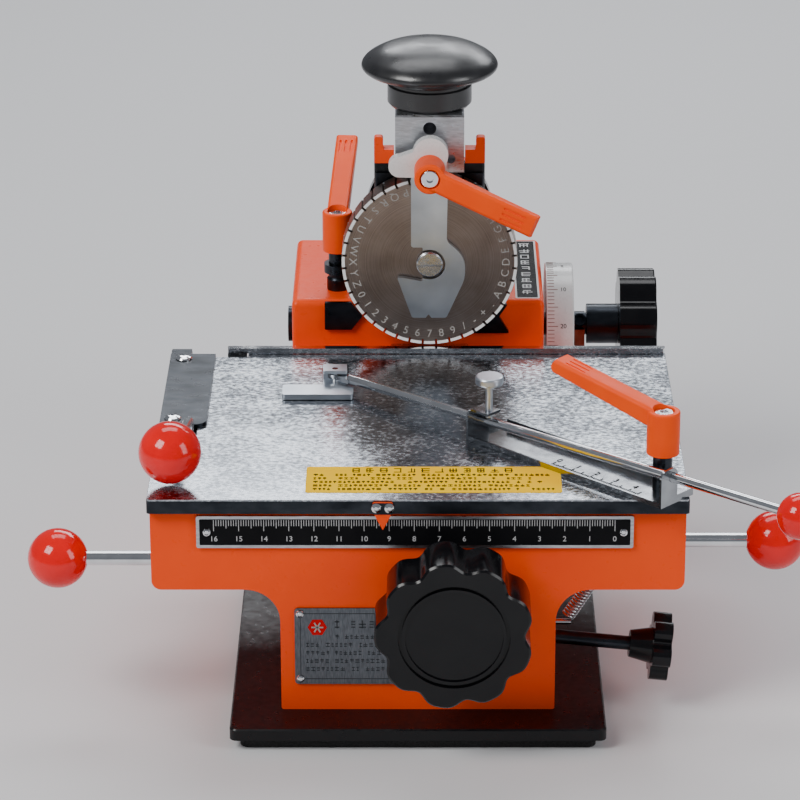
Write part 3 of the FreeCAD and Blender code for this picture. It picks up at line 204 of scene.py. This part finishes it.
def distance_from_wheel_axis(material):
    place = node(material, "ShaderNodeMapping")
    place.inputs["Location"].default_value = (-WHEEL_X, 0, -WHEEL_Z)
    coordinates = node(material, "ShaderNodeTexCoord")
    join(material, coordinates, "Object", place, "Vector")
    flat = node(material, "ShaderNodeVectorMath", operation="MULTIPLY")
    flat.inputs[1].default_value = (1, 0, 1)
    join(material, place, "Vector", flat, 0)
    radius = node(material, "ShaderNodeVectorMath", operation="LENGTH")
    join(material, flat, "Vector", radius, 0)
    return radius


RINGS_PER_METRE = 2600.0


def turned_wheel():
    """Tempered steel disc with fine turning rings about the wheel's axis."""
    material = new_material("wheel_steel", (0.2, 0.18, 0.165), 0.34, metallic=1.0)
    rings = node(material, "ShaderNodeTexNoise", Scale=1.0, Detail=4.0, noise_dimensions="1D")
    along = multiplied(material, distance_from_wheel_axis(material), "Value", RINGS_PER_METRE)
    join(material, along, "Value", rings, "W")
    total = node(material, "ShaderNodeMath", operation="ADD")
    join(material, rings, "Fac", total, 0)
    join(material, noise(material, 0.012, 4), "Fac", total, 1)
    mean = multiplied(material, total, "Value", 0.5)
    ramp_colour(material, mean, ((0.35, (0.24, 0.185, 0.155)), (0.72, (0.42, 0.345, 0.305))), "Value")
    vary_roughness(material, rings, 0.28, 0.46, 0.0, 1.0)
    bumpy(material, rings, 0.00001, 0.4)
    return material


LOOKS = {
    "orange_paint": painted("orange_paint", (0.95, 0.062, 0.0005), (1.0, 0.074, 0.001),
                            0.36, grain=0.003, depth=0.000010, coat=0.0, ior=1.4, gloss=0.28),
    "black_paint": painted("black_paint", (0.003, 0.003, 0.004), (0.007, 0.007, 0.008),
                           0.36, grain=0.003, depth=0.000010, coat=0.06, ior=1.34),
    "dark_steel": metal("dark_steel", (0.018, 0.021, 0.026), (0.046, 0.052, 0.062),
                        0.24, 0.40, size=0.012, stretch=(1, 2, 2), depth=0.000006),
    "bright_steel": metal("bright_steel", (0.56, 0.57, 0.59), (0.68, 0.69, 0.71),
                          0.20, 0.30, size=0.006, stretch=(1, 1, 2), depth=0.000002),
    "zinc": metal("zinc", (0.52, 0.565, 0.62), (0.70, 0.75, 0.81), 0.28, 0.40,
                  size=0.02, depth=0.000003),
    "mottled_sheet": spangled_sheet(),
    "wheel_steel": turned_wheel(),
    "chrome": metal("chrome", (0.70, 0.71, 0.73), (0.90, 0.91, 0.93), 0.07, 0.16,
                    size=0.012, depth=0.000002),
    "bronze": metal("bronze", (0.42, 0.25, 0.09), (0.66, 0.43, 0.19), 0.22, 0.38, size=0.003),
    "bakelite": plastic("bakelite", (0.002, 0.002, 0.003), (0.005, 0.005, 0.006), 0.13, 0.22,
                        coat=0.0, gloss=0.3),
    "red_ball": plastic("red_ball", (0.74, 0.0005, 0.002), (0.86, 0.001, 0.004), 0.08, 0.16,
                        coat=0.25, gloss=0.35),
    "orange_lever": plastic("orange_lever", (0.96, 0.072, 0.0005), (1.0, 0.086, 0.001), 0.34, 0.46,
                            coat=0.0, gloss=0.12),
    "aluminium": metal("aluminium", (0.42, 0.43, 0.45), (0.62, 0.63, 0.66), 0.26, 0.40,
                       stretch=(1, 1, 5), depth=0.000005),
    "white_enamel": painted("white_enamel", (0.70, 0.70, 0.69), (0.84, 0.84, 0.83), 0.3,
                            grain=0.0012, depth=0.00001),
    "rubber": painted("rubber", (0.006, 0.006, 0.006), (0.014, 0.014, 0.014), 0.8,
                      grain=0.0008, depth=0.00004, coat=0.0),
    "nameplate": metal("nameplate", (0.095, 0.105, 0.120), (0.165, 0.178, 0.198), 0.32, 0.44,
                       size=0.003, stretch=(6, 1, 1), depth=0.000006),
}
# nodes that don't look like the rest of their slot
OWN_LOOKS = {
    "press_knob": plastic("knob_satin", (0.004, 0.004, 0.005), (0.012, 0.012, 0.014), 0.26, 0.38,
                          coat=0.05, size=0.02, gloss=0.8),
    "guide_bracket": metal("bracket_steel", (0.30, 0.31, 0.33), (0.44, 0.46, 0.48), 0.14, 0.24,
                           size=0.01),
    "ruler_strip": LOOKS["aluminium"],
}


def dress_parts():
    """Give every part the look of its slot, or its own."""
    for part in frame["record"]["subparts"]:
        holder = frame["nodes"][part["node"]]
        look = OWN_LOOKS.get(part["node"], LOOKS[part["material_slot"]])
        if not holder.material_slots:
            holder.data.materials.append(look)
        for place in holder.material_slots:
            place.material = look


def printed(name, dark, light, roughness=0.8, gloss=0.0):
    """Ink or sticker film: thin and matt."""
    return painted(name, dark, light, roughness, grain=0.001, depth=0.000003,
                   coat=0.0, ior=1.4, gloss=gloss)


INK_WHITE = printed("ink_white", (0.82, 0.82, 0.82), (0.93, 0.93, 0.93))
INK_BROWN = printed("ink_brown", (0.16, 0.060, 0.040), (0.26, 0.105, 0.070))
INK_BLACK = printed("ink_black", (0.010, 0.010, 0.010), (0.022, 0.022, 0.022))
INK_GREY = printed("ink_grey", (0.040, 0.044, 0.050), (0.065, 0.070, 0.078))
INK_RED = printed("ink_red", (0.50, 0.003, 0.006), (0.62, 0.006, 0.010))
FIELD_BLACK = printed("field_black", (0.003, 0.003, 0.004), (0.007, 0.007, 0.008), 0.5, 0.12)
LABEL_YELLOW = printed("label_yellow", (0.98, 0.53, 0.0005), (1.0, 0.62, 0.001))
ENGRAVED = printed("engraved", (0.30, 0.285, 0.265), (0.42, 0.40, 0.375), 0.5, 0.3)
INK_PALE = printed("ink_pale", (0.46, 0.46, 0.47), (0.58, 0.58, 0.59))
# painted highlight: matt near-white colour standing in for light caught by the type wheel rim's
# chamfer
RIM_PAINTED_HIGHLIGHT = printed("rim_painted_highlight", (0.82, 0.82, 0.81), (0.94, 0.94, 0.93), 0.4, 0.5)
FINGER_STEEL = metal("finger_steel", (0.15, 0.085, 0.055), (0.26, 0.16, 0.11), 0.30, 0.42,
                     size=0.006)


# ---------------------------------------------------------------- mesh helpers
FRONT = Matrix.Rotation(math.radians(90), 4, "X")      # local +Z looks at the operator


def at(x, y, z, turn=None):
    place = Matrix.Translation((x, y, z))
    return place @ turn if turn is not None else place


def add_box(mesh, x0, x1, y0, y1, z0, z1, place=None):
    made = bmesh.ops.create_cube(mesh, size=1.0)["verts"]
    size = Matrix.Diagonal((x1 - x0, y1 - y0, z1 - z0, 1))
    middle = Matrix.Translation(((x0 + x1) / 2, (y0 + y1) / 2, (z0 + z1) / 2))
    whole = (place if place is not None else Matrix.Identity(4)) @ middle @ size
    bmesh.ops.transform(mesh, matrix=whole, verts=made)


def add_outline(mesh, points, depth, place):
    """A flat sheet from an outline of (x, y) points, depth thick, from z = 0 down."""
    verts = [mesh.verts.new((x, y, 0)) for x, y in points]
    face = mesh.faces.new(verts)
    grown = bmesh.ops.extrude_face_region(mesh, geom=[face])
    lower = [item for item in grown["geom"] if isinstance(item, bmesh.types.BMVert)]
    bmesh.ops.translate(mesh, verts=lower, vec=(0, 0, -depth))
    bmesh.ops.transform(mesh, matrix=place, verts=verts + lower)


def rounded_outline(x0, x1, y0, y1, r, steps=5):
    points = []
    corners = ((x1 - r, y0 + r, -90), (x1 - r, y1 - r, 0),
               (x0 + r, y1 - r, 90), (x0 + r, y0 + r, 180))
    for cx, cy, start in corners:
        for i in range(steps + 1):
            angle = math.radians(start + 90 * i / steps)
            points.append((cx + r * math.cos(angle), cy + r * math.sin(angle)))
    return points


def add_text(mesh, body, size, place):
    """Letters as solid shapes, centred on place, facing its +Z."""
    curve = bpy.data.curves.new("letters", "FONT")
    curve.body = body
    curve.size = size
    curve.align_x = "CENTER"
    curve.align_y = "CENTER"
    curve.extrude = DECAL / 2
    curve.resolution_u = 3
    holder = bpy.data.objects.new("letters", curve)
    shape = bpy.data.meshes.new_from_object(holder)
    shape.transform(place)
    mesh.from_mesh(shape)
    bpy.data.objects.remove(holder)
    bpy.data.curves.remove(curve)
    bpy.data.meshes.remove(shape)


def piece(name, mesh, look, body):
    """Turn a bmesh into an object that rides on a body."""
    bmesh.ops.recalc_face_normals(mesh, faces=mesh.faces[:])
    data = bpy.data.meshes.new(name)
    mesh.to_mesh(data)
    mesh.free()
    data.materials.append(look)
    made = bpy.data.objects.new(name, data)
    bpy.context.collection.objects.link(made)
    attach(made, body)


def sheet_piece(name, outline, depth, place, look, body):
    """A sticker, plate or painted field of one outline."""
    mesh = bmesh.new()
    add_outline(mesh, outline, depth, place)
    piece(name, mesh, look, body)


def mark_line(mesh, x0, x1, y, height, gap, place, seed):
    """A line of generic print: short strokes that stand for words."""
    draw = random.Random(seed)
    half_bar = height * 0.16 / 2
    bars = ((0, 0.84), (1, 0.12), (3, 0.5))       # the style that lacks the bar, and its height
    x = x0
    while x < x1 - height * 0.5:
        width = height * draw.uniform(0.45, 0.9)
        style = draw.randrange(4)
        if draw.random() < 0.14:
            x += width + gap
            continue
        right = min(x + width, x1)
        for lacking, level in bars:
            if style != lacking:
                bar = y + height * level
                add_box(mesh, x, right, bar - half_bar, bar + half_bar, 0, DECAL, place)
        if style != 2:
            middle = (x + right) / 2
            add_box(mesh, middle - half_bar, middle + half_bar, y, y + height, 0, DECAL, place)
        x = right + gap


def mark_glyph(mesh, cx, cy, width, height, place, seed):
    """One generic character made of crossing strokes."""
    draw = random.Random(seed)
    pen = height * 0.055
    for level in (-0.42, 0.0, 0.42):
        if draw.random() < 0.8:
            reach = width / 2 * draw.uniform(0.55, 1.0)
            y = cy + level * height
            add_box(mesh, cx - reach, cx + reach, y - pen, y + pen, 0, DECAL, place)
    pen = width * 0.06
    for side in (-0.34, 0.0, 0.34):
        if draw.random() < 0.6:
            reach = height / 2 * draw.uniform(0.6, 1.0)
            x = cx + side * width
            add_box(mesh, x - pen, x + pen, cy - reach, cy + reach, 0, DECAL, place)


# ---------------------------------------------------------------- yellow label on the table
LABEL_X0 = -45.0 * MM
LABEL_X1 = 57.5 * MM
LABEL_NEAR = 7 * MM             # from the table's front edge
LABEL_FAR = 33.3 * MM
TITLE_GLYPHS = 12
TITLE_PITCH = 5.6 * MM
LABEL_ROWS = 5
LABEL_ROW_PITCH = 3.6 * MM


def table_label():
    low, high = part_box("table_sheet")
    y0, y1 = low[1] + LABEL_NEAR, low[1] + LABEL_FAR
    place = at(0, 0, high[2] + DECAL)
    outline = rounded_outline(LABEL_X0, LABEL_X1, y0, y1, 1.2 * MM)
    sheet_piece("table_label", outline, DECAL, place, LABEL_YELLOW, "table")
    marks = bmesh.new()
    title = y1 - 5.6 * MM
    for i in range(TITLE_GLYPHS):
        x = LABEL_X0 + 20 * MM + i * TITLE_PITCH
        mark_glyph(marks, x, title + 1.7 * MM, 3.6 * MM, 4.2 * MM, place, 30 + i)
    for row in range(LABEL_ROWS):
        y = title - 3.9 * MM - row * LABEL_ROW_PITCH
        right = LABEL_X1 - (3 + (row % 2) * 9) * MM
        mark_line(marks, LABEL_X0 + 3 * MM, right, y, 2.0 * MM, 0.7 * MM, place, 20 + row)
    piece("table_label_print", marks, INK_BLACK, "table")


# ---------------------------------------------------------------- ruler
RULER_ZERO = 78.5 * MM
RULER_LONGEST = 16              # centimetres
RULER_EDGE = 1.3 * MM
TICK_HALF = 0.13 * MM


def tick_length(count):
    """Length of a millimetre tick, longer at every fifth and tenth."""
    if count % 10 == 0:
        return 4.8 * MM
    return (2.6 if count % 5 else 3.6) * MM


def ruler_face():
    low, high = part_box("ruler_strip")
    place = at(0, low[1] - DECAL, 0, FRONT)
    outline = rounded_outline(low[0] + RULER_EDGE, high[0] - RULER_EDGE,
                              low[2] + RULER_EDGE, high[2] - RULER_EDGE, 0.4 * MM)
    sheet_piece("ruler_field", outline, DECAL, place, FIELD_BLACK, "frame")
    marks = bmesh.new()
    top = high[2] - 1.5 * MM
    for count in range(RULER_LONGEST * 10 + 1):
        x = RULER_ZERO - count * MM
        add_box(marks, x - TICK_HALF, x + TICK_HALF, top - tick_length(count), top, 0, DECAL, place)
    for number in range(RULER_LONGEST + 1):
        x = RULER_ZERO - number * 10 * MM
        spot = at(x, low[1] - DECAL * 1.5, low[2] + 4.0 * MM, FRONT)
        add_text(marks, str(number), 3.2 * MM, spot)
    piece("ruler_marks", marks, INK_PALE, "frame")


# ---------------------------------------------------------------- data plate
DATA_MARGIN = 2.2 * MM
DATA_LINE = 0.3 * MM
DATA_ROWS = 5
EMBLEM_R = 3.9 * MM


def data_plate_print():
    low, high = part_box("data_plate")
    place = at(0, low[1], 0, FRONT)
    x0, x1 = low[0] + DATA_MARGIN, high[0] - DATA_MARGIN
    z0, z1 = low[2] + DATA_MARGIN, high[2] - DATA_MARGIN
    marks = bmesh.new()
    for a, b, c, d in ((x0, x1, z0, z0 + DATA_LINE), (x0, x1, z1 - DATA_LINE, z1),
                       (x0, x0 + DATA_LINE, z0, z1), (x1 - DATA_LINE, x1, z0, z1)):
        add_box(marks, a, b, c, d, 0, DECAL, place)
    mark_line(marks, x0 + 14 * MM, x1 - 12 * MM, z1 - 6.6 * MM, 3.4 * MM, 1.4 * MM, place, 45)
    for row in range(DATA_ROWS):
        z = z1 - (11.4 + 3.6 * row) * MM
        start = x0 + (2.4 if row else 12) * MM
        mark_line(marks, start, x1 - 3 * MM, z, 1.9 * MM, 0.7 * MM, place, 46 + row)
    piece("data_plate_print", marks, INK_GREY, "frame")
    emblem(x0 + 7 * MM, low[1] - DECAL, z1 - 6.2 * MM)


def emblem(x, y, z):
    """Plain red hexagon with three crossed bars."""
    hexagon = []
    for degrees in range(0, 360, 60):
        angle = math.radians(degrees)
        hexagon.append((x + EMBLEM_R * math.cos(angle), z + EMBLEM_R * math.sin(angle)))
    place = at(0, y, 0, FRONT)
    sheet_piece("data_plate_emblem", hexagon, DECAL, place, INK_RED, "frame")
    star = bmesh.new()
    for degrees in (0, 60, 120):
        spin = Matrix.Rotation(math.radians(degrees), 4, "Z")
        add_box(star, -2.4 * MM, 2.4 * MM, -0.3 * MM, 0.3 * MM, 0, DECAL, at(x, y, z, FRONT) @ spin)
    piece("data_plate_star", star, ENGRAVED, "frame")


# ---------------------------------------------------------------- type wheel
CHARACTERS = "789/-+." + "ABCDEFGHIJKLMNOPQRSTUVWXYZ" + "0123456"
CHARACTER_STEP = 2 * math.pi / len(CHARACTERS)
LETTER_RING = 33.3 * MM
LAND_OUTER = WHEEL_R - 0.15 * MM
LAND_INNER = WHEEL_R - 1.4 * MM
LAND_GAP = 0.55 * MM            # half the gap between neighbouring lands


def character_angle(i):
    return -math.pi / 2 + i * CHARACTER_STEP


def wheel_letters():
    letters = bmesh.new()
    for i, letter in enumerate(CHARACTERS):
        angle = character_angle(i)
        x = WHEEL_X + LETTER_RING * math.cos(angle)
        z = WHEEL_Z + LETTER_RING * math.sin(angle)
        spin = Matrix.Rotation(angle + math.pi / 2, 4, "Z")
        add_text(letters, letter, 4.9 * MM, at(x, wheel_low[1] - DECAL / 2, z, FRONT @ spin))
    piece("wheel_letters", letters, ENGRAVED, "wheel")


def wheel_rim_lands():
    """A painted highlight on the land at each character, between the rim's slots: flat near-white
    colour for the light that the rim's chamfer catches.
    """
    rim = bmesh.new()
    place = at(WHEEL_X, wheel_low[1] - DECAL, WHEEL_Z, FRONT)
    for i in range(len(CHARACTERS)):
        points = []
        for radius, way in ((LAND_OUTER, 1), (LAND_INNER, -1)):
            reach = CHARACTER_STEP / 2 - LAND_GAP / radius
            for share in (-1, -0.5, 0, 0.5, 1):
                angle = character_angle(i) + way * reach * share
                points.append((radius * math.cos(angle), radius * math.sin(angle)))
        add_outline(rim, points, DECAL, place)
    piece("wheel_rim_lands", rim, RIM_PAINTED_HIGHLIGHT, "wheel")


# ---------------------------------------------------------------- dial drum
DRUM_DIVISIONS = 100


def drum_scale():
    """Ticks along the drum's left edge, with a number at every tenth."""
    low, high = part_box("dial_drum")
    axis = at(0, (low[1] + high[1]) / 2, (low[2] + high[2]) / 2)
    radius = (high[2] - low[2]) / 2
    ticks = bmesh.new()
    numbers = bmesh.new()
    for i in range(DRUM_DIVISIONS):
        turned = axis @ Matrix.Rotation(2 * math.pi * i / DRUM_DIVISIONS, 4, "X")
        length = (3.0 if i % 5 else 4.6) * MM
        place = turned @ at(low[0] + 0.4 * MM, 0, radius)
        add_box(ticks, 0, length, -TICK_HALF, TICK_HALF, -0.02 * MM, DECAL * 0.8, place)
        if i % 10 == 0:
            spot = turned @ at(low[0] + 7.4 * MM, 0, radius + DECAL * 0.2)
            add_text(numbers, str(i), 2.8 * MM, spot)
    piece("drum_ticks", ticks, INK_BROWN, "dial")
    piece("drum_numbers", numbers, INK_BLACK, "dial")


# ---------------------------------------------------------------- sticker on the column
STICKER_X = (43.0 * MM, 53.6 * MM)
STICKER_Y = (55.5 * MM, 130.5 * MM)
STICKER_RIM = 0.8 * MM
STICKER_GLYPHS = 9
STICKER_PITCH = 7.7 * MM


def column_sticker():
    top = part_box("column_casting")[1][2]
    (x0, x1), (y0, y1) = STICKER_X, STICKER_Y
    paper = rounded_outline(x0, x1, y0, y1, 0.8 * MM)
    place = at(0, 0, top + DECAL)
    sheet_piece("column_sticker", paper, DECAL, place, INK_WHITE, "frame")
    place = at(0, 0, top + 2 * DECAL)
    field = rounded_outline(x0 + STICKER_RIM, x1 - STICKER_RIM,
                            y0 + STICKER_RIM, y1 - STICKER_RIM, 0.4 * MM)
    sheet_piece("column_sticker_field", field, DECAL, place, FIELD_BLACK, "frame")
    text = bmesh.new()
    for row in range(STICKER_GLYPHS):
        y = y1 - 6.4 * MM - row * STICKER_PITCH
        mark_glyph(text, (x0 + x1) / 2, y, 4.8 * MM, 5.0 * MM, place, 70 + row)
    piece("column_sticker_print", text, INK_WHITE, "frame")


# ---------------------------------------------------------------- angle bracket's scale
BRACKET_TURN = Matrix.Rotation(math.radians(-43.1), 4, "Z")
BRACKET_CORNER = (19.8 * MM, -63.8 * MM)
BRACKET_FLOOR = 1.0 * MM        # thickness of the bracket's base
SCALE_START = 44                # millimetres along the bracket
SCALE_TICKS = 46
SCALE_EDGE = 1.7 * MM
SCALE_TICK_HALF = 0.24 * MM


def bracket_scale():
    """Ticks and numbers along the near edge of the bracket's base."""
    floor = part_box("guide_bracket")[0][2] + BRACKET_FLOOR
    corner = at(*BRACKET_CORNER, floor, BRACKET_TURN)
    marks = bmesh.new()
    for i in range(SCALE_TICKS):
        x = (SCALE_START + i) * MM
        end = SCALE_EDGE + (2.6 if i % 5 else 4.2) * MM
        add_box(marks, x - SCALE_TICK_HALF, x + SCALE_TICK_HALF, SCALE_EDGE, end, 0, DECAL, corner)
    for number in range(5):
        spot = corner @ at((SCALE_START + 10 * number) * MM, 8.2 * MM, DECAL / 2)
        add_text(marks, str(number), 4.4 * MM, spot)
    piece("bracket_scale", marks, INK_BLACK, "bracket")


# ---------------------------------------------------------------- small faces
TIP_HEIGHT = 6.6 * MM           # the pointer's painted tip
HUB_R = 9.0 * MM                # the dial shaft's hub, which reaches furthest forward
FINGER_X = (70.5 * MM, 75.0 * MM)
FINGER_HALF = 5.6 * MM
FINGER_LENGTH = 14.6 * MM


def pointer_tab():
    """The pointer's upper half is bare dark steel; only its tip is painted."""
    low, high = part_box("position_pointer")
    outline = rounded_outline(low[0], high[0], low[2] + TIP_HEIGHT, high[2], 0.8 * MM)
    place = at(0, low[1] - 0.15 * MM, 0, FRONT)
    sheet_piece("pointer_tab", outline, 0.2 * MM, place, LOOKS["dark_steel"], "table")


def finger_face():
    """Brown tempered front of the stop finger on the dial shaft."""
    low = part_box("dial_shaft")[0]
    front = low[1] + HUB_R - FINGER_HALF
    mesh = bmesh.new()
    add_box(mesh, *FINGER_X, front - DECAL, front, low[2] + 0.3 * MM, low[2] + FINGER_LENGTH)
    piece("finger_face", mesh, FINGER_STEEL, "dial")


# ---------------------------------------------------------------- stage
def stage_floor():
    mesh = bmesh.new()
    bmesh.ops.create_grid(mesh, x_segments=1, y_segments=1, size=6.0)
    data = bpy.data.meshes.new("floor")
    mesh.to_mesh(data)
    mesh.free()
    look = new_material("floor_paper", (0.68, 0.68, 0.69), 0.6, gloss=0.2)
    data.materials.append(look)
    floor = bpy.data.objects.new("floor", data)
    bpy.context.collection.objects.link(floor)


LIT_POINT = Vector((0, 0, 0.12))


def area_light(name, place, size, power, colour):
    """A rectangular lamp aimed at the middle of the machine."""
    data = bpy.data.lights.new(name, "AREA")
    data.shape = "RECTANGLE"
    data.size, data.size_y = size
    data.energy = power
    data.color = colour
    lamp = bpy.data.objects.new(name, data)
    lamp.location = place
    lamp.rotation_euler = (LIT_POINT - Vector(place)).to_track_quat("-Z", "Y").to_euler()
    bpy.context.collection.objects.link(lamp)


def studio():
    world = bpy.data.worlds.new("studio")
    world.use_nodes = True
    background = world.node_tree.nodes["Background"]
    background.inputs["Color"].default_value = (0.80, 0.84, 0.92, 1)
    background.inputs["Strength"].default_value = 0.22
    bpy.context.scene.world = world
    area_light("key", (-0.9, -0.8, 1.20), (0.7, 0.7), 20, (1, 0.99, 0.97))
    area_light("rim", (0.25, 1.3, 0.95), (1.4, 0.35), 11, (0.95, 0.97, 1))
    area_light("top", (-0.1, 0.6, 1.45), (1.0, 0.5), 7, (0.97, 0.98, 1))
    area_light("fill", (1.1, -0.7, 0.7), (0.5, 0.9), 7, (0.98, 0.99, 1))


def camera():
    data = bpy.data.cameras.new("view")
    data.lens = 166.05
    data.sensor_width = 36.0
    data.shift_x = -0.0225
    data.clip_end = 50
    made = bpy.data.objects.new("view", data)
    made.location = (0, -1.4672, 0.6894)
    made.rotation_euler = (math.radians(68), 0, 0)
    bpy.context.collection.objects.link(made)
    bpy.context.scene.camera = made


dress_parts()
table_label()
bracket_scale()
pointer_tab()
finger_face()
ruler_face()
data_plate_print()
wheel_letters()
wheel_rim_lands()
drum_scale()
column_sticker()
stage_floor()
studio()
camera()
